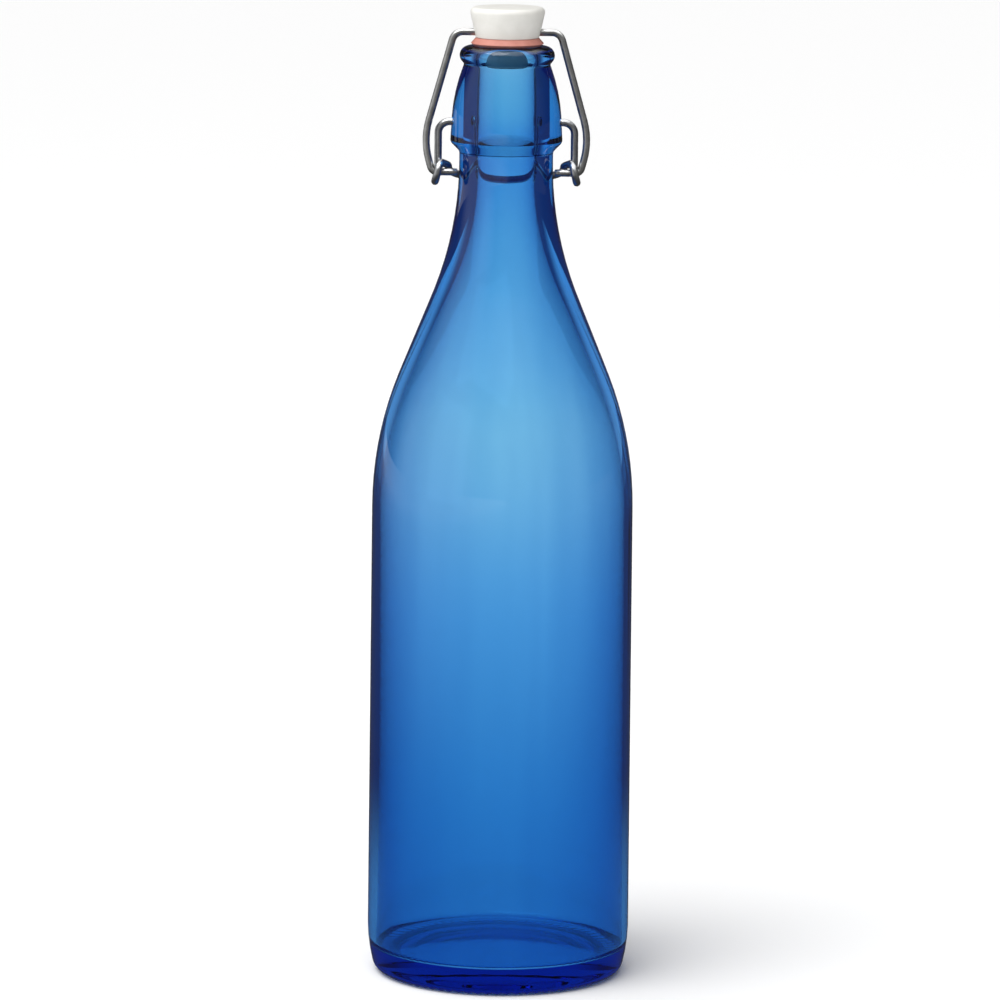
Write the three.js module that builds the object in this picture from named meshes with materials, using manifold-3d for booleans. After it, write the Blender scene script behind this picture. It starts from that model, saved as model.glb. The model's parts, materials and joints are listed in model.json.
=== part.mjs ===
// A one-litre swing-top glass bottle: bottle, stopper with its gasket, and the two bent
// wires of the toggle closure, shown closed. Millimetres, +Z up. The origin is the centre
// of the base, on the surface that the bottle stands on. X is the line through the two
// hinge dimples, and +Y is the back, where the thumb bow of the lever wire lies.

import * as THREE from "three";
import { mergeVertices } from "three/addons/utils/BufferGeometryUtils.js";
import Module from "manifold-3d";

const wasm = await Module();
wasm.setup();

// Bottle, outside
const bodyRadius = 42.6; // at the foot of the shoulder
const bodyDraft = 0.4; // the body is this much wider at the heel
const heelHeight = 16; // top of the tapered heel
const heelTaper = 14; // degrees from the vertical where the heel's taper meets its corner
const heelCorner = 4.2; // radius of the corner that rolls under to the base
const ringWidth = 1.8; // flat bearing ring that the bottle stands on
const shoulderStart = 154.9; // height at which the straight side ends
const shoulderRadius = 119;
const shoulderSlope = 22.2; // steepest slope from the vertical, in degrees
const throatRadius = 115;
const neckRadius = 15.15;
const neckLength = 3.6; // straight neck between the throat and the collar

// Bottle, inside
const bodyWall = 2.4;
const neckWall = 5.95;
const cavityDrop = 2.9; // the cavity's shoulder starts this much lower than the outside's
const cavityShoulderRadius = 112;
const cavitySlope = 24.5;
const cavityThroatRadius = 90;
const lipRadius = 1; // rounding of the mouth's inner edge
const floorHeight = 9; // top of the glass floor at its edge
const floorRise = 1.2; // how much higher its middle is
const floorFillet = 2.2;
const puntRise = 5.4; // height of the hollow under the base
const puntStep = 3.4; // height at which its steep edge ends
const puntEdge = 9; // width of that edge

// Collar with the hinge dimples, and the bead round the mouth
const collarProud = 2.75; // the collar's side stands out this much from the neck
const collarFlare = 0.25; // its lower edge stands out this much more
const collarEdge = 1.4; // rounding of that edge, above a 45 degree underside
const collarSkirt = 3.95; // from the lower edge up to where the side starts to curve in
const collarUpper = 23.7; // from there to the middle of the bead
const collarUpperRadius = 57;
const beadRadius = 3;
const beadProud = 0.3; // the bead stands out this much from the neck
const beadPinch = 62; // degrees below the bead's middle where the collar meets it
const pinAbove = 2; // hinge axis above the collar's skirt
const pinDepth = 2.7; // how far each pin reaches into the collar
const pinClearance = 0.3;

// Stopper and gasket
const gasketThickness = 2.35;
const gasketSeal = 1.7; // width of the gasket's flat on the rim, outside the bore
const gasketGap = 0.3; // between gasket and rim, taken up as the wires pull past centre
const seatGap = 0.15; // between gasket and stopper
const gasketTip = 0.65; // the sharp edge stands out this much
const gasketTipHeight = 0.7;
const headInset = 0.6; // the head's foot inside the gasket's lower edge
const headFlare = 1.8; // the head's top is this much wider than its foot
const headHeight = 10.2;
const headEdge = 1.6; // rounding of the head's top edge
const headDome = 0.35;
const stemInset = 3.8; // the stem that carries the gasket, inside the bore's wall
const flangeInset = 1.8; // the flange that holds the gasket on the stem
const flangeThickness = 1.9;
const flangeChamfer = 0.6;
const plugInset = 3.3; // plug tip inside the bore's wall
const plugLength = 7.9; // below the rim
const plugEdge = 0.8;

// Bail wire, from the stopper down to the lever's eyes
const bailWire = 2.35;
const bailHoleClearance = 0.18;
const bailHoleFloor = 0.345; // plastic left between hole and gasket seat
const bailShoulder = 1.65; // the top bar turns down this much outside the bead
const bailTopBend = 3.6;
const bailKnee = 4.8; // the knee stands out this much from the lever's uprights
const bailKneeBend = 24;
const kneeAbove = 10.4; // knee above the eye centre
const footProud = 1.9; // the legs' feet stand out this much from the uprights
const bailFootBend = 2.2;
const bailEndGap = 0.6; // between each wire end and the neck

// Lever wire, hinged in the collar, with one eye a side and the thumb bow behind
const leverWire = 2.45;
const leverOut = 4.2; // uprights outside the collar
const leverTopBend = 3.7;
const eyeClearance = 0.67; // round the bail wire
const eyeBelow = 16.1; // eye centre below the hinge axis
const eyeLean = 0.9; // the bottom of the eye leans out
const armGap = 0.85; // between each upright and the arm that passes inside it
const armNear = 0.6; // the arms are parallel from just behind the hinge's plane
const armBend = 6;
const armTaper = 0.4; // the arms close in by this much towards the bow
const bowDrop = 4.1; // bow below the eye centre, at the back
const bowGap = 1.3; // between bow and neck, at the back
const bowBend = 14.5;
const thumbDip = 0.7; // shallow vee in the middle of the bow

const roundSegments = 48;
const wireSides = 10;
const bendStep = 15; // degrees of bend per extrusion step

// Sizes and places that follow
const deg = THREE.MathUtils.degToRad;
const boreRadius = neckRadius - neckWall;
const collarRadius = neckRadius + collarProud;
const beadOuter = neckRadius + beadProud;
const gasketLower = boreRadius + gasketSeal;
const headFoot = gasketLower - headInset;
const stemRadius = boreRadius - stemInset;
const leverX = collarRadius + leverOut;
const armX = leverX - leverWire - armGap;
const eyeRadius = bailWire / 2 + eyeClearance + leverWire / 2;
const eyeCross = leverWire / 2; // the top of the eye crosses in towards the arm
const shoulder = ogee(bodyRadius, shoulderStart, shoulderRadius, shoulderSlope, throatRadius, neckRadius);
const collarBottom = shoulder.at(-1).y + neckLength;
const collarReach = collarProud + collarFlare - collarEdge * (1 - Math.SQRT1_2);
const collarFoot = collarBottom + collarReach + collarEdge * Math.SQRT1_2;
const collarShoulder = collarFoot + collarSkirt;
const beadHeight = collarShoulder + collarUpper;
const rimTop = beadHeight + beadRadius;
const gasketBottom = rimTop + gasketGap;
const seat = gasketBottom + gasketThickness + seatGap;
const bailTop = seat + bailHoleFloor + bailHoleClearance + bailWire / 2;
const hingeHeight = collarShoulder + pinAbove;
const eyeHeight = hingeHeight - eyeBelow;
const eyeY = -eyeRadius; // the uprights stand in the hinge's plane, the eyes just in front

// Points of an arc in a half-section, angles in degrees from the +radius direction.
function arc(centreRadius, centreHeight, radius, from, to, steps) {
  return Array.from({ length: steps + 1 }, (_, i) => {
    const angle = deg(from + ((to - from) * i) / steps);
    const x = centreRadius + radius * Math.cos(angle);
    return new THREE.Vector2(x, centreHeight + radius * Math.sin(angle));
  });
}

// The S-shaped shoulder, from the body up to the neck: two arcs with a straight cone between.
function ogee(body, start, convex, slope, concave, neck) {
  const lower = arc(body - convex, start, convex, 0, slope, 6);
  const coneFoot = lower.at(-1);
  const coneTopRadius = neck + concave * (1 - Math.cos(deg(slope)));
  const coneTop = coneFoot.y + (coneFoot.x - coneTopRadius) / Math.tan(deg(slope));
  const centreHeight = coneTop + concave * Math.sin(deg(slope));
  const upper = arc(neck + concave, centreHeight, concave, 180 + slope, 180, 6);
  return [...lower, ...upper];
}

function point(radius, height) {
  return new THREE.Vector2(radius, height);
}

// A solid of revolution about Z from a half-section that starts and ends on the axis,
// or closes on itself.
function turned(section) {
  return new THREE.LatheGeometry(section, roundSegments).rotateX(Math.PI / 2);
}

function solidOf(geometry) {
  const bare = geometry.clone();
  bare.deleteAttribute("normal");
  bare.deleteAttribute("uv");
  const merged = mergeVertices(bare, 1e-4);
  const vertProperties = merged.attributes.position.array;
  const triVerts = new Uint32Array(merged.index.array);
  return new wasm.Manifold(new wasm.Mesh({ numProp: 3, vertProperties, triVerts }));
}

function geometryOf(solid) {
  const mesh = solid.getMesh();
  return new THREE.BufferGeometry()
    .setAttribute("position", new THREE.BufferAttribute(mesh.vertProperties, 3))
    .setIndex(new THREE.BufferAttribute(mesh.triVerts, 1));
}

// A round bar along X, centred on the hinge line or on the stopper's hole.
function crossBar(radius, fromX, toX, height) {
  return new THREE.CylinderGeometry(radius, radius, toX - fromX, 24)
    .rotateZ(Math.PI / 2)
    .translate((fromX + toX) / 2, 0, height);
}

// A curve that takes one extrusion step from each of its points to the next.
class WirePath extends THREE.Curve {
  constructor(points) {
    super();
    this.points = points;
  }

  getPointAt(u) {
    return this.points[Math.round(u * (this.points.length - 1))].clone();
  }

  getTangentAt(u) {
    const last = this.points.length - 1;
    const i = Math.round(u * last);
    const before = this.points[Math.max(i - 1, 0)];
    const after = this.points[Math.min(i + 1, last)];
    return after.clone().sub(before).normalize();
  }
}

// Points along straight runs, with an arc of the given radius at each inner corner.
function bent(corners) {
  const points = [corners[0].at];
  for (let i = 1; i < corners.length - 1; i++) {
    const { at, bend } = corners[i];
    const back = corners[i - 1].at.clone().sub(at).normalize();
    const on = corners[i + 1].at.clone().sub(at).normalize();
    const half = back.angleTo(on) / 2;
    const centre = at.clone().addScaledVector(back.clone().add(on).normalize(), bend / Math.sin(half));
    const first = at.clone().addScaledVector(back, bend / Math.tan(half)).sub(centre);
    const final = at.clone().addScaledVector(on, bend / Math.tan(half)).sub(centre);
    const turn = Math.PI - 2 * half;
    const steps = Math.max(2, Math.ceil(turn / deg(bendStep)));
    for (let k = 0; k <= steps; k++) {
      const a = Math.sin(((steps - k) / steps) * turn) / Math.sin(turn);
      const b = Math.sin((k / steps) * turn) / Math.sin(turn);
      points.push(centre.clone().addScaledVector(first, a).addScaledVector(final, b));
    }
  }
  points.push(corners.at(-1).at);
  return points;
}

// A whole wire from the points of its right half, which end or start on the plane x = 0.
function mirroredWire(rightHalf, diameter) {
  const left = rightHalf.map((p) => new THREE.Vector3(-p.x, p.y, p.z)).reverse();
  const points = [...rightHalf, ...left.slice(1)];
  const section = new THREE.Shape(
    Array.from({ length: wireSides }, (_, i) => {
      const angle = ((i + 0.5) / wireSides) * 2 * Math.PI;
      return point((Math.cos(angle) * diameter) / 2, (Math.sin(angle) * diameter) / 2);
    }),
  );
  return new THREE.ExtrudeGeometry(section, {
    steps: points.length - 1,
    extrudePath: new WirePath(points),
  });
}

function corner(x, y, z, bend = 0) {
  return { at: new THREE.Vector3(x, y, z), bend };
}

function glassBottle() {
  const taperRadius = (heelHeight - heelCorner * (1 - Math.sin(deg(heelTaper)))) / Math.sin(deg(heelTaper));
  const heelRadius = bodyRadius + bodyDraft;
  const heel = arc(heelRadius - taperRadius, heelHeight, taperRadius, -heelTaper, 0, 3);
  const heelCentre = heel[0].x - heelCorner * Math.cos(deg(heelTaper));
  const ringInner = heelCentre - ringWidth;
  const puntFlat = ringInner - puntEdge;
  const base = [
    point(0, puntRise),
    point(puntFlat / 2, puntRise - (puntRise - puntStep) / 4),
    point(puntFlat, puntStep),
    point(puntFlat + (puntEdge * 2) / 3, puntStep / 2),
    point(ringInner, 0),
    ...arc(heelCentre, heelCorner, heelCorner, -90, -heelTaper, 5),
  ];
  const collarPinch = collarUpper - beadRadius * Math.sin(deg(beadPinch));
  const upperTurn = THREE.MathUtils.radToDeg(Math.asin(collarPinch / collarUpperRadius));
  const edgeCentre = collarRadius + collarFlare - collarEdge;
  const sideCentre = collarRadius - collarUpperRadius;
  const collarSide = arc(sideCentre, collarShoulder, collarUpperRadius, 0, upperTurn, 6);
  const collar = [
    point(neckRadius, collarBottom),
    ...arc(edgeCentre, collarFoot, collarEdge, -45, 0, 3),
    ...collarSide.slice(0, -1),
  ];
  const bead = arc(beadOuter - beadRadius, beadHeight, beadRadius, -beadPinch, 90, 8);
  const lip = arc(boreRadius + lipRadius, rimTop - lipRadius, lipRadius, 90, 180, 3);
  const cavityRadius = bodyRadius - bodyWall;
  const cavityStart = shoulderStart - cavityDrop;
  const floorRadius = cavityRadius + bodyDraft;
  const cavity = ogee(
    cavityRadius,
    cavityStart,
    cavityShoulderRadius,
    cavitySlope,
    cavityThroatRadius,
    boreRadius,
  ).reverse();
  const filletCentre = floorHeight + floorFillet;
  const floor = [
    ...arc(floorRadius - floorFillet, filletCentre, floorFillet, 0, -90, 4),
    point((floorRadius - floorFillet) / 2, floorHeight + floorRise * 0.75),
    point(0, floorHeight + floorRise),
  ];
  const section = [...base, ...heel.slice(1), ...shoulder, ...collar, ...bead, ...lip, ...cavity, ...floor];
  const dimpleRadius = leverWire / 2 + pinClearance;
  const dimpleFloor = collarRadius - pinDepth - pinClearance;
  return [-1, 1].reduce((solid, side) => {
    const ends = [side * dimpleFloor, side * (collarRadius + leverWire)].sort((a, b) => a - b);
    return solid.subtract(solidOf(crossBar(dimpleRadius, ends[0], ends[1], hingeHeight)));
  }, solidOf(turned(section)));
}

function stopper() {
  const top = seat + headHeight;
  const headTop = headFoot + headFlare;
  const edgeCentre = headTop - headEdge;
  const flange = boreRadius - flangeInset;
  const flangeTop = gasketBottom - gasketGap;
  const flangeFoot = flangeTop - flangeThickness;
  const plug = boreRadius - plugInset;
  const tip = rimTop - plugLength;
  const section = [
    point(0, tip - headDome),
    point(plug - plugEdge, tip),
    point(plug, tip + plugEdge),
    point(flange - flangeChamfer, flangeFoot - flangeChamfer),
    point(flange, flangeFoot),
    point(flange, flangeTop),
    point(stemRadius, flangeTop),
    point(stemRadius, seat),
    point(headFoot, seat),
    ...arc(edgeCentre, top - headEdge - headDome, headEdge, 0, 80, 5),
    point(edgeCentre / 2, top - headDome / 4),
    point(0, top),
  ];
  const hole = crossBar(bailWire / 2 + bailHoleClearance, -headTop, headTop, bailTop);
  return solidOf(turned(section)).subtract(solidOf(hole));
}

function stopperGasket() {
  const inner = stemRadius + seatGap;
  const top = gasketBottom + gasketThickness;
  const section = [
    point(inner, gasketBottom),
    point(gasketLower, gasketBottom),
    point(gasketLower + gasketTip, gasketBottom + gasketTipHeight),
    point(headFoot, top),
    point(inner, top),
    point(inner, gasketBottom),
  ];
  return turned(section);
}

// The bail leans forward from the stopper's hole to the eyes.
function bailY(height) {
  return (eyeY * (bailTop - height)) / (bailTop - eyeHeight);
}

function bailWireGeometry() {
  const knee = eyeHeight + kneeAbove;
  const half = bent([
    corner(neckRadius + bailEndGap, eyeY, eyeHeight),
    corner(leverX + footProud, eyeY, eyeHeight, bailFootBend),
    corner(leverX + bailKnee, bailY(knee), knee, bailKneeBend),
    corner(beadOuter + bailShoulder, 0, bailTop, bailTopBend),
    corner(0, 0, bailTop),
  ]);
  return mirroredWire(half, bailWire);
}

// One eye: down the back, under, up the front and over the top to the back again.
function eyeLoop() {
  const lastTurn = 270;
  const steps = 18;
  return Array.from({ length: steps + 1 }, (_, i) => {
    const turn = (lastTurn * i) / steps;
    const over = Math.max(0, (turn - 90) / (lastTurn - 90));
    const lean = eyeLean * Math.sin(deg(Math.min(turn, 90))) - (eyeLean + eyeCross) * over ** 1.5;
    const y = eyeY + eyeRadius * Math.cos(deg(turn));
    return new THREE.Vector3(leverX + lean, y, eyeHeight - eyeRadius * Math.sin(deg(turn)));
  });
}

function leverWireGeometry() {
  const pinEnd = collarRadius - pinDepth;
  const upright = bent([
    corner(pinEnd, 0, hingeHeight),
    corner(leverX, 0, hingeHeight, leverTopBend),
    corner(leverX, 0, eyeHeight),
  ]);
  const loop = eyeLoop();
  const bowY = neckRadius + bowGap + leverWire;
  const bowZ = eyeHeight - bowDrop;
  const leave = loop.at(-1);
  const slope = (bowZ - leave.z) / (bowY - leave.y);
  const level = (y) => leave.z + slope * (y - leave.y);
  const arm = bent([
    { at: leave },
    corner(armX, armNear, level(armNear), armBend),
    corner(armX - armTaper, bowY, bowZ, bowBend),
    corner(0, bowY + thumbDip, bowZ - thumbDip),
  ]);
  return mirroredWire([...upright, ...loop.slice(1), ...arm.slice(1)], leverWire);
}

const glass = new THREE.MeshStandardMaterial({ color: 0x1f6fc4, roughness: 0.05, metalness: 0 });
const whitePlastic = new THREE.MeshStandardMaterial({ color: 0xe9e7e0, roughness: 0.45, metalness: 0 });
const coralRubber = new THREE.MeshStandardMaterial({ color: 0xe9786a, roughness: 0.6, metalness: 0 });
const steel = new THREE.MeshStandardMaterial({ color: 0x9a9c9c, roughness: 0.3, metalness: 1 });

const pieces = {
  glass_bottle: [geometryOf(glassBottle()), glass],
  stopper: [geometryOf(stopper()), whitePlastic],
  stopper_gasket: [stopperGasket(), coralRubber],
  bail_wire: [bailWireGeometry(), steel],
  lever_wire: [leverWireGeometry(), steel],
};

const bottle = new THREE.Group();
for (const [name, [geometry, material]] of Object.entries(pieces)) {
  const mesh = new THREE.Mesh(geometry, material);
  mesh.name = name;
  bottle.add(mesh);
}

export default bottle;
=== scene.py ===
"""Swing-top bottle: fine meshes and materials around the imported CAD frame. Metres, +Z up."""

import json
import math

import bpy
import numpy as np
from mathutils import Matrix, Vector


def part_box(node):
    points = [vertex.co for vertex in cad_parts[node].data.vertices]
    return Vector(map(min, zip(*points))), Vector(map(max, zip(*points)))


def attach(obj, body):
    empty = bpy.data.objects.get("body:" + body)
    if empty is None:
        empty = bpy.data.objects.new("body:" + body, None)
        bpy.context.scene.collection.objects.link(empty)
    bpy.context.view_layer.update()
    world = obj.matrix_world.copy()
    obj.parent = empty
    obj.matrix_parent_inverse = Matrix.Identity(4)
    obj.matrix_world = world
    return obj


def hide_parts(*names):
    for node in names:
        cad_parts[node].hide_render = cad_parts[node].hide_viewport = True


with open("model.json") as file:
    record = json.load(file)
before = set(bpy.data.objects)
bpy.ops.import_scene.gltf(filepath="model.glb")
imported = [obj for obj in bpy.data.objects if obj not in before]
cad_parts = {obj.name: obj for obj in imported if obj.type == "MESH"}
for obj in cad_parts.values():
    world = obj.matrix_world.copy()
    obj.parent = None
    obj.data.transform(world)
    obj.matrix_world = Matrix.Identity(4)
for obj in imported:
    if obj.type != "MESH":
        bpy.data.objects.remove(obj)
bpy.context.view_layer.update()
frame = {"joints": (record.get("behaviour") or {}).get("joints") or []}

MM = 0.001
TAU = 2 * math.pi

# Places that the frame gives
hinges = {joint["name"]: Vector(joint["pos_m"]) for joint in frame["joints"]}
hinge = hinges["lever_hinge"]
eye = hinges["bail_hinge"]
hole = hinges["stopper_hinge"]
heel_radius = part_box("glass_bottle")[1].x
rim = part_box("glass_bottle")[1].z
head_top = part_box("stopper")[1].z
head_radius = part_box("stopper")[1].x
plug_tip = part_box("stopper")[0].z
gasket_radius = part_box("stopper_gasket")[1].x
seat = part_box("stopper_gasket")[1].z + 0.15 * MM

# Bottle
body_radius = heel_radius - 0.4 * MM
heel_height = 16 * MM
heel_taper = 14
heel_corner = 4.2 * MM
ring_width = 1.8 * MM
shoulder_start = 154.9 * MM
shoulder_radius = 119 * MM
shoulder_slope = 22.2
throat_radius = 115 * MM
neck_radius = 15.15 * MM
body_wall = 2.4 * MM
bore_radius = 9.2 * MM
cavity_start = 152 * MM
cavity_shoulder = 112 * MM
cavity_slope = 24.5
cavity_throat = 90 * MM
floor_height = 9 * MM
floor_rise = 1.2 * MM
floor_fillet = 2.2 * MM
punt_rise = 5.4 * MM
punt_step = 3.4 * MM
punt_edge = 9 * MM
lip_radius = 1 * MM
bead_radius = 3 * MM
bead_outer = 15.45 * MM
bead_pinch = 62  # degrees below the middle of the bead where the collar meets it
collar_radius = 17.9 * MM
collar_flare = 0.25 * MM
collar_edge = 1.3 * MM
collar_skirt = 3.95 * MM
collar_upper = 23.7 * MM
collar_upper_radius = 57 * MM
dimple_radius = 1.525 * MM
dimple_depth = 3.0 * MM
knurl_count = 76
knurl_height = 0.5 * MM
knurl_reach = 2 * MM
glass_segments = knurl_count * 4
seam_height = 0.06 * MM

# Stopper and gasket
stem_radius = 5.4 * MM
flange_radius = 7.4 * MM
flange_thickness = 1.9 * MM
flange_chamfer = 0.6 * MM
plug_radius = 5.9 * MM
plug_edge = 0.8 * MM
head_flare = 1.8 * MM
head_edge = 1.6 * MM
head_dome = 0.35 * MM
hole_clearance = 0.12 * MM
gasket_lower = 10.9 * MM
gasket_inset = 0.1 * MM  # the gasket's upper edge is this much inside the head's foot
gasket_tip_height = 0.95 * MM
gasket_tip_extra = 0.3 * MM  # the pressed tip stands out past the CAD ring, less what softening takes
hair = 0.02 * MM  # left between the rubber and what it touches

# Wires
bail_wire = 2.35 * MM
lever_wire = 2.45 * MM
lever_x = 22.1 * MM
lever_bend = 3.7 * MM
lever_pin = 2.7 * MM  # reach of each pin into the collar
eye_lean = 0.9 * MM
arm_gap = 0.85 * MM
arm_near = 0.6 * MM
arm_bend = 6 * MM
arm_taper = 0.4 * MM
bow_drop = 4.1 * MM
bow_gap = 1.3 * MM
bow_bend = 14.5 * MM
thumb_dip = 0.7 * MM
bail_end_gap = 0.6 * MM
bail_foot = 1.9 * MM  # the feet stand out this much from the lever's uprights
bail_foot_bend = 2.2 * MM
bail_knee = 4.8 * MM
bail_knee_height = 10.4 * MM
bail_knee_bend = 24 * MM
bail_shoulder = 1.65 * MM
bail_top_bend = 3.6 * MM


def arc(centre_r, centre_z, radius, start, end, steps=24):
    """Points of an arc in a half-section, angles in degrees from the +radius direction."""
    angles = np.radians(np.linspace(start, end, steps + 1))
    return [(centre_r + radius * math.cos(a), centre_z + radius * math.sin(a)) for a in angles]


def ogee(body, start, convex, slope, concave, neck):
    """The S-shaped shoulder from the body up to the neck: two arcs and a straight cone."""
    lower = arc(body - convex, start, convex, 0, slope)
    tan, cos, sin = (f(math.radians(slope)) for f in (math.tan, math.cos, math.sin))
    cone_top = lower[-1][1] + (lower[-1][0] - neck - concave * (1 - cos)) / tan
    return lower + arc(neck + concave, cone_top + concave * sin, concave, 180 + slope, 180)


def softened(section, radius):
    """The section with every corner eased over about the given radius, thinned where it is straight."""
    points = np.array(section)
    lengths = np.r_[0, np.cumsum(np.hypot(*np.diff(points, axis=0).T))]
    step = radius / 3
    count = int(lengths[-1] / step) + 1
    at = np.linspace(0, lengths[-1], count)
    fine = np.stack([np.interp(at, lengths, points[:, k]) for k in (0, 1)], axis=1)
    reach = 6
    weights = np.exp(-0.5 * (np.arange(-reach, reach + 1) / (reach / 2.5)) ** 2)
    weights /= weights.sum()
    ends = [np.repeat(fine[:1], reach, 0), fine, np.repeat(fine[-1:], reach, 0)]
    padded = np.concatenate(ends)
    fine = np.stack([np.convolve(padded[:, k], weights, "valid") for k in (0, 1)], axis=1)
    fine[0], fine[-1] = points[0], points[-1]
    kept, turned, run = [0], 0.0, 0.0
    for i in range(1, count - 1):
        before, after = fine[i] - fine[i - 1], fine[i + 1] - fine[i]
        turned += abs(math.atan2(before[0] * after[1] - before[1] * after[0], before @ after))
        run += math.hypot(*after)
        if turned > math.radians(4) or run > 5 * MM:
            kept.append(i)
            turned, run = 0.0, 0.0
    return fine[kept + [count - 1]]


def mesh_object(name, vertices, faces, sharp=40):
    mesh = bpy.data.meshes.new(name)
    mesh.from_pydata([tuple(v) for v in vertices], [], faces)
    mesh.update()
    mesh.shade_smooth()
    mesh.set_sharp_from_angle(angle=math.radians(sharp))
    made = bpy.data.objects.new(name, mesh)
    bpy.context.scene.collection.objects.link(made)
    return made


def revolved(name, section, segments, shape=None, closed=False, sharp=40):
    """A solid of revolution about Z. shape(r, z, angle) may move its points."""
    section = np.array(section)
    poles = not closed
    rings = section[1:-1] if poles else section
    angles = np.arange(segments) * TAU / segments
    r = np.repeat(rings[:, :1], segments, 1)
    z = np.repeat(rings[:, 1:], segments, 1)
    a = np.repeat(angles[None], len(rings), 0)
    if shape:
        r, z = shape(r, z, a)
    vertices = np.stack([r * np.cos(a), r * np.sin(a), z], axis=2).reshape(-1, 3)
    count = len(rings)
    faces = []
    for i in range(count if closed else count - 1):
        low, high = i * segments, ((i + 1) % count) * segments
        for k in range(segments):
            n = (k + 1) % segments
            faces.append((low + k, low + n, high + n, high + k))
    if poles:
        bottom, top = len(vertices), len(vertices) + 1
        vertices = np.vstack([vertices, [0, 0, section[0][1]], [0, 0, section[-1][1]]])
        last = (count - 1) * segments
        for k in range(segments):
            n = (k + 1) % segments
            faces.append((bottom, n, k))
            faces.append((top, last + k, last + n))
    return mesh_object(name, vertices, faces, sharp)


def cut_bar(piece, radius, start_x, end_x, height, edge=0.25 * MM):
    """Cuts a round hole along X out of the piece."""
    span = end_x - start_x
    section = [(0, 0), (radius, 0), (radius, span), (0, span)]
    cutter = revolved("cutter", softened(section, edge / 2), 48)
    turn = Matrix.Rotation(math.pi / 2, 4, "Y")
    cutter.data.transform(Matrix.Translation((start_x, 0, height)) @ turn)
    cut = piece.modifiers.new("hole", "BOOLEAN")
    cut.object, cut.operation, cut.solver = cutter, "DIFFERENCE", "EXACT"
    bpy.context.view_layer.update()
    graph = bpy.context.evaluated_depsgraph_get()
    made = bpy.data.meshes.new_from_object(piece.evaluated_get(graph))
    piece.modifiers.clear()
    piece.data = made
    bpy.data.objects.remove(cutter)
    made.shade_smooth()
    made.set_sharp_from_angle(angle=math.radians(40))


def bent(corners, step=math.radians(5)):
    """Points along straight runs, with an arc of the given radius at each inner corner."""
    points = [corners[0][0]]
    for (before, _), (at, radius), (after, _) in zip(corners, corners[1:], corners[2:]):
        back, on = (before - at).normalized(), (after - at).normalized()
        half = back.angle(on) / 2
        centre = at + (back + on).normalized() * radius / math.sin(half)
        first = at + back * radius / math.tan(half) - centre
        final = at + on * radius / math.tan(half) - centre
        turn = math.pi - 2 * half
        steps = max(3, math.ceil(turn / step))
        for k in range(steps + 1):
            a = math.sin((steps - k) / steps * turn) / math.sin(turn)
            b = math.sin(k / steps * turn) / math.sin(turn)
            points.append(centre + first * a + final * b)
    points.append(corners[-1][0])
    return points


def mirrored(right_half):
    left = [Vector((-p.x, p.y, p.z)) for p in reversed(right_half)]
    return right_half + left[1:]


def swept(name, path, diameter, sides=20, end_edge=0.25 * MM):
    """A round wire along the path, with eased cut ends and a UV map of its girth and length."""
    longest = 2.5 * MM
    points = [path[0]]
    for p in path[1:]:
        pieces = max(1, math.ceil((p - points[-1]).length / longest))
        start = points[-1]
        points += [start.lerp(p, (i + 1) / pieces) for i in range(pieces)]
    ends = [(points[0] - points[1]).normalized(), (points[-1] - points[-2]).normalized()]
    radii = [diameter / 2] * len(points)
    points[0] = points[0] - ends[0] * end_edge
    points[-1] = points[-1] - ends[1] * end_edge
    points = [points[0] + ends[0] * end_edge] + points + [points[-1] + ends[1] * end_edge]
    radii = [diameter / 2 - end_edge] + radii + [diameter / 2 - end_edge]
    tangents = []
    for i in range(len(points)):
        ahead, behind = points[min(i + 1, len(points) - 1)], points[max(i - 1, 0)]
        tangents.append((ahead - behind).normalized())
    normal = tangents[0].orthogonal().normalized()
    vertices, lengths = [], [0.0]
    for i, (p, tangent, radius) in enumerate(zip(points, tangents, radii)):
        normal = (normal - tangent * normal.dot(tangent)).normalized()
        side = tangent.cross(normal)
        for k in range(sides):
            a = k * TAU / sides
            vertices.append(p + (normal * math.cos(a) + side * math.sin(a)) * radius)
        if i:
            lengths.append(lengths[-1] + (p - points[i - 1]).length)
    faces, uvs = [], []
    for i in range(len(points) - 1):
        for k in range(sides):
            n = (k + 1) % sides
            low, high = i * sides, (i + 1) * sides
            faces.append((low + k, low + n, high + n, high + k))
            around = [k, k + 1, k + 1, k]
            along = [lengths[i], lengths[i], lengths[i + 1], lengths[i + 1]]
            uvs += [(u / sides, v) for u, v in zip(around, along)]
    for i, order in ((0, -1), (len(points) - 1, 1)):
        ring = [i * sides + k for k in range(sides)][::order]
        faces.append(tuple(ring))
        uvs += [(k / sides, lengths[i]) for k in range(sides)]
    made = mesh_object(name, vertices, faces, sharp=50)
    layer = made.data.uv_layers.new(name="wire")
    layer.data.foreach_set("uv", np.array(uvs, dtype=np.float32).ravel())
    return made


# Materials


def nodes_of(name):
    material = bpy.data.materials.new(name)
    material.use_nodes = True
    tree = material.node_tree
    return material, tree, tree.nodes["Principled BSDF"]


def link(tree, output, socket):
    tree.links.new(output, socket)


def node(tree, kind, **settings):
    made = tree.nodes.new(kind)
    for key, value in settings.items():
        if key in made.inputs:
            made.inputs[key].default_value = value
        else:
            setattr(made, key, value)
    return made


def ramp(tree, factor, stops):
    made = tree.nodes.new("ShaderNodeValToRGB")
    elements = made.color_ramp.elements
    while len(elements) < len(stops):
        elements.new(0.5)
    for element, (at, colour) in zip(elements, stops):
        element.position = at
        element.color = (*colour, 1)
    link(tree, factor, made.inputs["Fac"])
    return made.outputs["Color"]


def multiplied(tree, first, second):
    made = node(tree, "ShaderNodeMixRGB", blend_type="MULTIPLY", Fac=1)
    link(tree, first, made.inputs["Color1"])
    link(tree, second, made.inputs["Color2"])
    return made.outputs["Color"]


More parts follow.
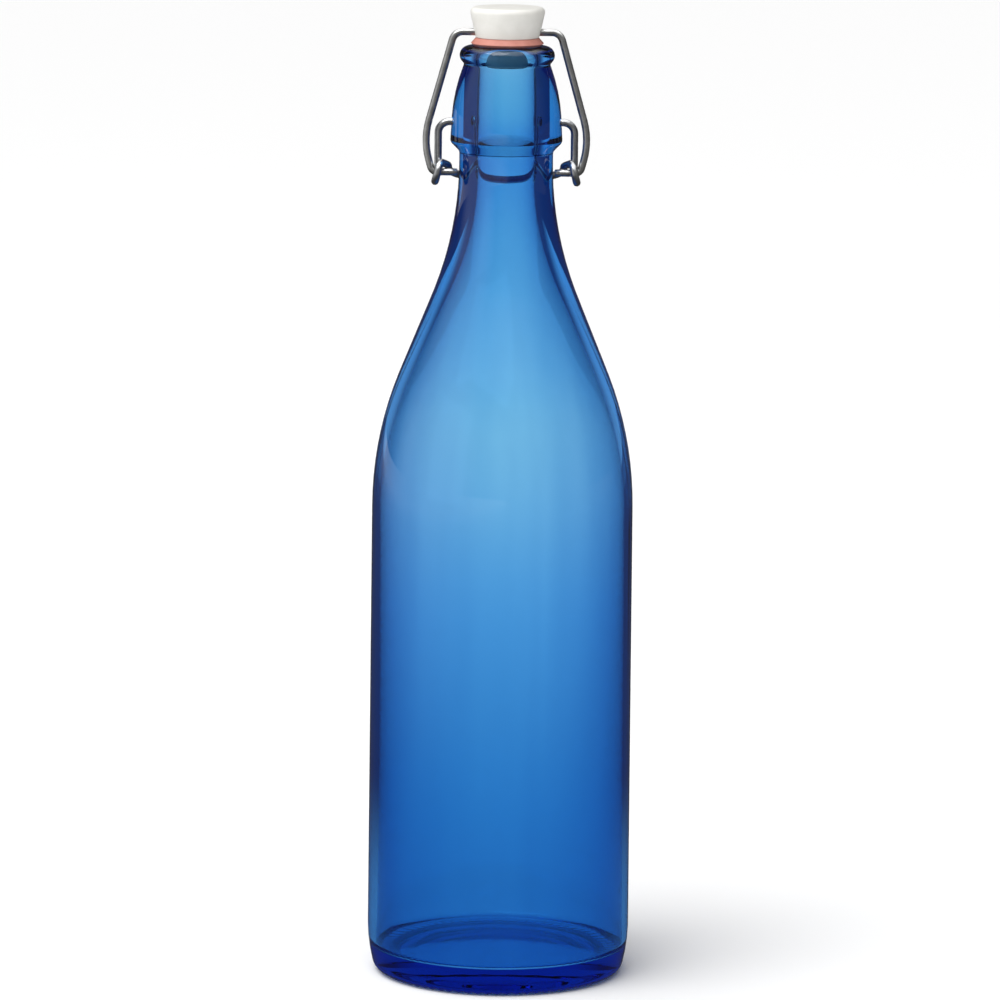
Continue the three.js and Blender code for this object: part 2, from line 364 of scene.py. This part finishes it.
def noise_of(tree, coordinates, scale, detail=3, stretch=(1, 1, 1)):
    mapping = node(tree, "ShaderNodeMapping", Scale=stretch)
    link(tree, coordinates, mapping.inputs["Vector"])
    made = node(tree, "ShaderNodeTexNoise", Scale=scale, Detail=detail)
    link(tree, mapping.outputs["Vector"], made.inputs["Vector"])
    return made.outputs["Fac"]


def bumped(tree, shader, height, strength, distance):
    made = node(tree, "ShaderNodeBump", Strength=strength, Distance=distance)
    link(tree, height, made.inputs["Height"])
    link(tree, made.outputs["Normal"], shader.inputs["Normal"])


def height_factor(tree, low, high):
    """0 to 1 from one height of the object to another."""
    place = node(tree, "ShaderNodeTexCoord")
    split = node(tree, "ShaderNodeSeparateXYZ")
    link(tree, place.outputs["Object"], split.inputs["Vector"])
    made = tree.nodes.new("ShaderNodeMapRange")
    made.inputs["From Min"].default_value = low
    made.inputs["From Max"].default_value = high
    link(tree, split.outputs["Z"], made.inputs["Value"])
    return made.outputs["Result"], place.outputs["Object"]


def glass_material():
    """Cobalt glass: its blue tint, made lighter and darker by height as painted light and shade,
    deepest towards the base, and absorption through its walls.
    """
    material, tree, shader = nodes_of("cobalt_glass")
    shader.inputs["Transmission Weight"].default_value = 1
    shader.inputs["IOR"].default_value = 1.52
    shader.inputs["Roughness"].default_value = 0.01
    height, place = height_factor(tree, 0, rim)
    # The blue is the glass's own colour. Its changes with height are painted light and shade, lightest
    # on the shoulder and deepest towards the base.
    tint_and_painted_shade = ramp(
        tree,
        height,
        [
            (0.05, (0.14, 0.43, 0.75)),
            (0.2, (0.21, 0.535, 0.84)),
            (0.4, (0.37, 0.69, 0.945)),
            (0.6, (0.655, 0.89, 1.0)),
            (0.8, (0.54, 0.81, 0.97)),
            (0.88, (0.41, 0.71, 0.95)),
            (0.93, (0.76, 0.94, 1.0)),
        ],
    )
    streaks = ramp(
        tree,
        noise_of(tree, place, 90, 3, (1, 1, 0.06)),
        [(0.3, (0.86, 0.92, 0.96)), (0.7, (1, 1, 1))],
    )
    tint_and_painted_shade = multiplied(tree, tint_and_painted_shade, streaks)
    weight = node(tree, "ShaderNodeLayerWeight", Blend=0.5)
    deeper = ramp(tree, weight.outputs["Facing"], [(0, (1, 1, 1)), (0.6, (0.46, 0.6, 0.8))])
    link(tree, multiplied(tree, tint_and_painted_shade, deeper), shader.inputs["Base Color"])
    bumped(tree, shader, noise_of(tree, place, 60, 2, (1, 1, 0.25)), 0.1, 0.3 * MM)
    volume = node(tree, "ShaderNodeVolumeAbsorption", Color=(0.0, 0.62, 0.895, 1), Density=105)
    link(tree, volume.outputs["Volume"], tree.nodes["Material Output"].inputs["Volume"])
    return material


def plastic_material():
    material, tree, shader = nodes_of("white_stopper_plastic")
    place = node(tree, "ShaderNodeTexCoord").outputs["Object"]
    blotch = noise_of(tree, place, 180, 4)
    colour = ramp(tree, blotch, [(0.3, (0.72, 0.71, 0.665)), (0.7, (0.79, 0.78, 0.74))])
    link(tree, colour, shader.inputs["Base Color"])
    gloss = ramp(tree, noise_of(tree, place, 900, 2), [(0.3, (0.34,) * 3), (0.7, (0.46,) * 3)])
    link(tree, gloss, shader.inputs["Roughness"])
    shader.inputs["IOR"].default_value = 1.49
    bumped(tree, shader, noise_of(tree, place, 1400, 3), 0.15, 0.05 * MM)
    return material


def rubber_material():
    material, tree, shader = nodes_of("coral_gasket_rubber")
    place = node(tree, "ShaderNodeTexCoord").outputs["Object"]
    blotch = noise_of(tree, place, 260, 4)
    colour = ramp(tree, blotch, [(0.3, (0.51, 0.185, 0.14)), (0.7, (0.59, 0.245, 0.195))])
    link(tree, colour, shader.inputs["Base Color"])
    shader.inputs["Roughness"].default_value = 0.5
    bumped(tree, shader, noise_of(tree, place, 2200, 3), 0.25, 0.04 * MM)
    return material


def steel_material(name, tone):
    """Drawn wire: fine scratches along its length over a faintly mottled zinc grey."""
    material, tree, shader = nodes_of(name)
    uv = node(tree, "ShaderNodeTexCoord").outputs["UV"]
    place = node(tree, "ShaderNodeTexCoord").outputs["Object"]
    blotch = noise_of(tree, place, 420, 4)
    low, high = [c * 0.72 for c in tone], tone
    colour = ramp(tree, blotch, [(0.3, low), (0.7, high)])
    link(tree, colour, shader.inputs["Base Color"])
    shader.inputs["Metallic"].default_value = 1
    scratches = noise_of(tree, uv, 1, 5, (60, 500, 1))
    gloss = ramp(tree, scratches, [(0.3, (0.24,) * 3), (0.75, (0.42,) * 3)])
    link(tree, gloss, shader.inputs["Roughness"])
    bumped(tree, shader, scratches, 0.25, 0.03 * MM)
    return material


# Pieces


def bottle_section():
    heel_sin, heel_cos = math.sin(math.radians(heel_taper)), math.cos(math.radians(heel_taper))
    taper = (heel_height - heel_corner * (1 - heel_sin)) / heel_sin
    heel = arc(heel_radius - taper, heel_height, taper, -heel_taper, 0)
    heel_centre = heel[0][0] - heel_corner * heel_cos
    ring_inner = heel_centre - ring_width
    flat = ring_inner - punt_edge
    dome = (flat**2 + (punt_rise - punt_step) ** 2) / (2 * (punt_rise - punt_step))
    dome_turn = math.degrees(math.asin(flat / dome))
    underside = arc(0, punt_rise - dome, dome, 90, 90 - dome_turn)
    underside += [(flat + punt_edge * 2 / 3, punt_step / 2), (ring_inner, 0)]
    corner = arc(heel_centre, heel_corner, heel_corner, -90, -heel_taper)
    shoulder = ogee(
        body_radius, shoulder_start, shoulder_radius, shoulder_slope, throat_radius, neck_radius
    )
    bead_height = rim - bead_radius
    side_foot = bead_height - collar_upper
    reach = collar_upper - bead_radius * math.sin(math.radians(bead_pinch))
    upper_turn = math.degrees(math.asin(reach / collar_upper_radius))
    edge_centre = (collar_radius + collar_flare - collar_edge, side_foot - collar_skirt)
    collar = arc(*edge_centre, collar_edge, -45, 0)
    collar.insert(0, (neck_radius, collar[0][1] - (collar[0][0] - neck_radius)))
    side_centre = collar_radius - collar_upper_radius
    collar += arc(side_centre, side_foot, collar_upper_radius, 0, upper_turn)[:-1]
    bead = arc(bead_outer - bead_radius, bead_height, bead_radius, -bead_pinch, 90)
    lip = arc(bore_radius + lip_radius, rim - lip_radius, lip_radius, 90, 180)
    inside = body_radius - body_wall
    cavity = ogee(
        inside, cavity_start, cavity_shoulder, cavity_slope, cavity_throat, bore_radius
    )[::-1]
    edge = inside + heel_radius - body_radius - floor_fillet
    floor = arc(edge, floor_height + floor_fillet, floor_fillet, 0, -90)
    bulge = (edge**2 + floor_rise**2) / (2 * floor_rise)
    bulge_turn = math.degrees(math.asin(edge / bulge))
    floor += arc(0, floor_height + floor_rise - bulge, bulge, 90 - bulge_turn, 90)
    outside = underside + corner + heel + shoulder + collar + bead
    return outside + lip + cavity + floor


def blown(r, z, a):
    """Waves of the blown inner wall, the moulded knurl under the base and the two mould seams."""
    wave = np.zeros_like(r)
    for turns, rise, phase, size in ((3, 17, 0.4, 0.05), (7, -23, 1.9, 0.03), (13, 11, 4.1, 0.02)):
        wave += size * MM * np.sin(turns * a + rise * z + phase)
    is_inner = np.zeros_like(r, dtype=bool)
    top = int(np.argmax(z[:, 0]))
    is_inner[top + 3:] = True
    fade = np.clip(r / (20 * MM) - 0.3, 0, 1)
    r = r + np.where(is_inner, wave * fade, wave * 0.15 * fade)
    on_ring = (~is_inner) & (z < knurl_reach) & (r > 33 * MM)
    ridge = 0.5 - 0.5 * np.cos(knurl_count * a)
    z = z + np.where(on_ring, knurl_height * ridge * (1 - z / knurl_reach), 0)
    seam = np.isclose(np.abs(np.cos(a)), 1) & (~is_inner) & (z > 2 * MM) & (z < rim - 26 * MM)
    r = r + np.where(seam, seam_height, 0)
    return r, z


def bottle():
    section = softened(bottle_section(), 0.6 * MM)
    piece = revolved("blown_bottle", section, glass_segments, blown)
    for side in (-1, 1):
        ends = sorted((side * (collar_radius - dimple_depth), side * (collar_radius + 3 * MM)))
        cut_bar(piece, dimple_radius, ends[0], ends[1], hinge.z)
    return piece


def stopper():
    foot = head_radius - head_flare
    flange_top = rim - 0.05 * MM
    flange_foot = flange_top - flange_thickness
    crown = head_radius - head_edge
    section = [
        (0, plug_tip),
        (plug_radius - plug_edge, plug_tip + head_dome),
        (plug_radius, plug_tip + head_dome + plug_edge),
        (flange_radius - flange_chamfer, flange_foot - flange_chamfer),
        (flange_radius, flange_foot),
        (flange_radius, flange_top),
        (stem_radius, flange_top),
        (stem_radius, seat),
        (foot, seat),
    ]
    section += arc(crown, head_top - head_edge - head_dome, head_edge, -6, 82)
    section += [(crown / 2, head_top - head_dome / 4), (0, head_top)]
    piece = revolved("stopper_head", softened(section, 0.3 * MM), 128)
    reach = head_radius + 1 * MM
    cut_bar(piece, bail_wire / 2 + hole_clearance, -reach, reach, hole.z)
    return piece


def gasket():
    bottom = rim + hair
    inner = stem_radius + 0.05 * MM
    top = seat - hair
    middle = (bottom + top) / 2
    section = [
        (inner, middle),
        (inner, bottom),
        (gasket_lower - 0.3 * MM, bottom),
        (gasket_radius + gasket_tip_extra, bottom + gasket_tip_height),
        (head_radius - head_flare - gasket_inset, top),
        (inner, top),
        (inner, middle),
    ]
    return revolved("gasket_ring", softened(section, 0.15 * MM)[:-1], 160, closed=True)


def bail():
    knee = eye.z + bail_knee_height
    knee_y = eye.y * (hole.z - knee) / (hole.z - eye.z)
    half = bent(
        [
            (Vector((neck_radius + bail_end_gap, eye.y, eye.z)), 0),
            (Vector((lever_x + bail_foot, eye.y, eye.z)), bail_foot_bend),
            (Vector((lever_x + bail_knee, knee_y, knee)), bail_knee_bend),
            (Vector((bead_outer + bail_shoulder, 0, hole.z)), bail_top_bend),
            (Vector((0, 0, hole.z)), 0),
        ]
    )
    return swept("bail", mirrored(half), bail_wire)


def eye_loop():
    """One eye: under the bail's foot, up the front and over the top to the back again."""
    eye_radius = -eye.y
    cross = lever_wire / 2
    loop = []
    for turn in range(5, 271, 5):
        a = math.radians(turn)
        over = max(0, (turn - 90) / 180) ** 1.5
        x = lever_x + eye_lean * math.sin(min(a, math.pi / 2)) - (eye_lean + cross) * over
        loop.append(Vector((x, eye.y + eye_radius * math.cos(a), eye.z - eye_radius * math.sin(a))))
    return loop


def lever():
    upright = bent(
        [
            (Vector((collar_radius - lever_pin, 0, hinge.z)), 0),
            (Vector((lever_x, 0, hinge.z)), lever_bend),
            (Vector((lever_x, 0, eye.z)), 0),
        ]
    )
    loop = eye_loop()
    leave = loop[-1]
    bow_y = neck_radius + bow_gap + lever_wire
    bow_z = eye.z - bow_drop
    arm_x = lever_x - lever_wire - arm_gap
    near_z = leave.z + (bow_z - leave.z) * (arm_near - leave.y) / (bow_y - leave.y)
    arm = bent(
        [
            (leave, 0),
            (Vector((arm_x, arm_near, near_z)), arm_bend),
            (Vector((arm_x - arm_taper, bow_y, bow_z)), bow_bend),
            (Vector((0, bow_y + thumb_dip, bow_z - thumb_dip)), 0),
        ]
    )
    return swept("lever", mirrored(upright + loop + arm[1:]), lever_wire)


def dress(piece, body, replaced, material):
    piece.data.materials.clear()
    piece.data.materials.append(material)
    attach(piece, body)
    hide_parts(replaced)


# Stage, light and camera

inner_tone = (0.06, 0.08, 0.2)  # what light mirrored inside the glass mostly finds
floor_tone = (0.98,) * 3  # the floor as light through the glass finds it
room_tone = (0.82,) * 3
dark_tone = (0.05,) * 3
left_tone = (0.6,) * 3
camera_place = (-0.8 * MM, -2.045, 0.4908)
camera_lens = 227.85
camera_pitch = 9.27  # degrees down
camera_roll = 0.62


def maths(tree, operation, first, second):
    made = node(tree, "ShaderNodeMath", operation=operation)
    for value, socket in zip((first, second), made.inputs):
        if isinstance(value, (int, float)):
            socket.default_value = value
        else:
            link(tree, value, socket)
    return made.outputs[0]


def over_half(tree, value):
    return maths(tree, "GREATER_THAN", value, 0.5)


def blended(tree, factor, first, second):
    mix = tree.nodes.new("ShaderNodeMixRGB")
    link(tree, factor, mix.inputs["Fac"])
    for value, name in ((first, "Color1"), (second, "Color2")):
        if isinstance(value, tuple):
            mix.inputs[name].default_value = (*value, 1)
        else:
            link(tree, value, mix.inputs[name])
    return mix.outputs["Color"]


def eased(tree, value, low, high):
    """0 at low to 1 at high, with soft ends. low may be the larger one."""
    made = node(tree, "ShaderNodeMapRange", interpolation_type="SMOOTHSTEP")
    made.inputs["From Min"].default_value = low
    made.inputs["From Max"].default_value = high
    link(tree, value, made.inputs["Value"])
    return made.outputs["Result"]


def distance_from(tree, place):
    """Distance of the shaded point from a place, or of a direction from another direction."""
    coordinates = tree.nodes.new("ShaderNodeTexCoord")
    made = node(tree, "ShaderNodeVectorMath", operation="DISTANCE")
    kind = "Generated" if tree.nodes.get("Background") else "Object"
    link(tree, coordinates.outputs[kind], made.inputs[0])
    made.inputs[1].default_value = place
    return made.outputs["Value"]


def surroundings(tree, path, open_tone, mirrored_tone, inside_tone):
    """What light finds straight on, mirrored off a surface, or mirrored inside the glass."""
    mirrored_off = over_half(tree, path.outputs["Glossy Depth"])
    through = over_half(tree, path.outputs["Transmission Depth"])
    inside = maths(tree, "MULTIPLY", mirrored_off, through)
    first = blended(tree, mirrored_off, open_tone, mirrored_tone)
    return blended(tree, inside, first, inside_tone), maths(tree, "MAXIMUM", mirrored_off, through)


def stage_floor():
    """A pale floor. Seen through the glass it is lit like a light table, and in mirrors it is dim.
    Light that reaches it through the glass after a diffuse bounce finds it dark, which paints shade
    onto the stopper's plug inside the neck.
    """
    bpy.ops.mesh.primitive_circle_add(vertices=96, radius=40, fill_type="NGON")
    floor = bpy.context.object
    floor.name = "studio_floor"
    material, tree, shader = nodes_of("studio_floor")
    shader.inputs["Base Color"].default_value = (0.93, 0.93, 0.93, 1)
    shader.inputs["Roughness"].default_value = 0.9
    shader.inputs["Specular IOR Level"].default_value = 0
    left = eased(tree, distance_from(tree, (-22, -8, 0)), 23.2, 21.8)
    front = eased(tree, distance_from(tree, (15, -20, 0)), 25, 23.6)
    mirrored_tone = blended(tree, front, dark_tone, (0.16,) * 3)
    mirrored_tone = blended(tree, left, mirrored_tone, left_tone)
    close_by = eased(tree, distance_from(tree, (0, 0, 0)), 0.35, 0.08)
    inside_tone = blended(tree, close_by, inner_tone, (0.8, 0.8, 0.85))
    path = tree.nodes.new("ShaderNodeLightPath")
    # Painted shade: after a diffuse bounce the floor seen through the glass is dark, so the plug inside
    # the neck is shaded.
    plug_shade_mask = over_half(tree, path.outputs["Diffuse Depth"])
    open_tone = blended(tree, plug_shade_mask, floor_tone, (0.05, 0.07, 0.1))
    tone, by_way_of_object = surroundings(tree, path, open_tone, mirrored_tone, inside_tone)
    card = node(tree, "ShaderNodeEmission")
    link(tree, tone, card.inputs["Color"])
    mix = node(tree, "ShaderNodeMixShader")
    link(tree, by_way_of_object, mix.inputs[0])
    link(tree, shader.outputs[0], mix.inputs[1])
    link(tree, card.outputs[0], mix.inputs[2])
    link(tree, mix.outputs[0], tree.nodes["Material Output"].inputs["Surface"])
    floor.data.materials.append(material)


def studio_world():
    """A white room, lit more from the left. Its mirror image is bright overhead and on the left."""
    world = bpy.data.worlds.new("studio")
    bpy.context.scene.world = world
    world.use_nodes = True
    tree = world.node_tree
    overhead = eased(tree, distance_from(tree, (0, 0, 1)), 1.0, 0.6)
    left = eased(tree, distance_from(tree, (-0.93, -0.33, 0.1)), 0.9, 0.4)
    front = eased(tree, distance_from(tree, (0.6, -0.8, 0.1)), 1.1, 0.5)
    mirrored_tone = blended(tree, front, dark_tone, (0.18,) * 3)
    mirrored_tone = blended(tree, left, mirrored_tone, left_tone)
    mirrored_tone = blended(tree, overhead, mirrored_tone, (2.2,) * 3)
    behind = eased(tree, distance_from(tree, (0, 1, 0)), 0.9, 0.3)
    inside_tone = blended(tree, behind, inner_tone, (0.65, 0.8, 1.0))
    path = tree.nodes.new("ShaderNodeLightPath")
    tone, _ = surroundings(tree, path, room_tone, mirrored_tone, inside_tone)
    lit_side = eased(tree, distance_from(tree, (-0.75, -0.2, 0.6)), 1.7, 0.5)
    fill = blended(tree, lit_side, (0.22,) * 3, (1.05,) * 3)
    tone = blended(tree, over_half(tree, path.outputs["Is Diffuse Ray"]), tone, fill)
    link(tree, tone, tree.nodes["Background"].inputs["Color"])


def softbox(name, place, target, width, height, power):
    light = bpy.data.lights.new(name, "AREA")
    light.shape, light.size, light.size_y, light.energy = "RECTANGLE", width, height, power
    made = bpy.data.objects.new(name, light)
    made.location = place
    made.rotation_euler = (Vector(target) - Vector(place)).to_track_quat("-Z", "Y").to_euler()
    bpy.context.scene.collection.objects.link(made)
    return made


def lights():
    sun = bpy.data.lights.new("overhead", "SUN")
    sun.energy, sun.angle = 1.2, math.radians(40)
    made = bpy.data.objects.new("overhead", sun)
    made.rotation_euler = (math.radians(20), math.radians(-18), 0)
    bpy.context.scene.collection.objects.link(made)
    middle = (0, 0, 0.2)
    for light in (
        softbox("top", (-0.3, -0.5, 1.8), middle, 2.0, 2.0, 10),
        softbox("key", (-2.1, -1.5, 0.95), middle, 1.8, 1.5, 5),
    ):
        light.visible_glossy = False


def camera():
    data = bpy.data.cameras.new("camera")
    data.lens, data.sensor_width, data.clip_end = camera_lens, 36, 200
    made = bpy.data.objects.new("camera", data)
    place = Matrix.Translation(camera_place)
    tilt = Matrix.Rotation(math.radians(90 - camera_pitch), 4, "X")
    roll = Matrix.Rotation(math.radians(camera_roll), 4, "Z")
    made.matrix_world = place @ tilt @ roll
    bpy.context.scene.collection.objects.link(made)
    bpy.context.scene.camera = made


camera()
studio_world()
lights()
stage_floor()
bpy.context.scene.view_settings.view_transform = "Standard"
bpy.context.scene.cycles.glossy_bounces = 12

dress(bottle(), "bottle", "glass_bottle", glass_material())
dress(stopper(), "stopper", "stopper", plastic_material())
dress(gasket(), "stopper", "stopper_gasket", rubber_material())
bail_tone, lever_tone = (0.63, 0.63, 0.62), (0.61, 0.62, 0.63)
dress(bail(), "bail", "bail_wire", steel_material("bail_steel_wire", bail_tone))
dress(lever(), "lever", "lever_wire", steel_material("lever_steel_wire", lever_tone))
